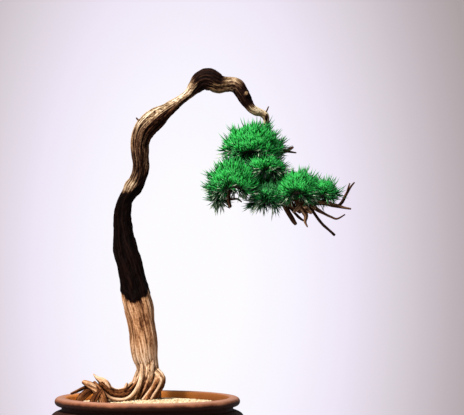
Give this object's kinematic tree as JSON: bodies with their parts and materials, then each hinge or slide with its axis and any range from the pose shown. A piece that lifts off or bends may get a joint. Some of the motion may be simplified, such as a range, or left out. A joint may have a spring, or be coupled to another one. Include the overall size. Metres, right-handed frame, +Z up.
{
  "type": "literati bonsai",
  "caption": "Leaning, arched conifer bonsai with one hanging needled branch and dead twigs, rooted in gravelly soil in a round terracotta pot with a rolled lip.",
  "frame": {"origin": "middle of the pot's flat underside", "axes": "+Z up along the pot's axis, +X towards the side that the branch hangs over, -Y the tree's front"},
  "size_m": [0.6602, 0.424, 0.8375],
  "materials": {
    "terracotta": "unglazed fired clay, slightly burnished on the lip, darker below",
    "gravel": "fine pale grit over soil, matt",
    "bark": "weathered bare wood with long grain, dark bark in patches",
    "needles": "living green needles on thin twigs, slightly waxy"
  },
  "bodies": {
    "root": {"pot": "terracotta", "soil": "gravel", "trunk": "bark", "foliage_top": "needles", "foliage_top_back": "needles", "foliage_middle": "needles", "foliage_left": "needles", "foliage_left_tip": "needles", "foliage_low": "needles", "foliage_low_back": "needles", "foliage_right": "needles", "foliage_right_back": "needles", "foliage_right_tip": "needles"}
  },
  "joints": []
}
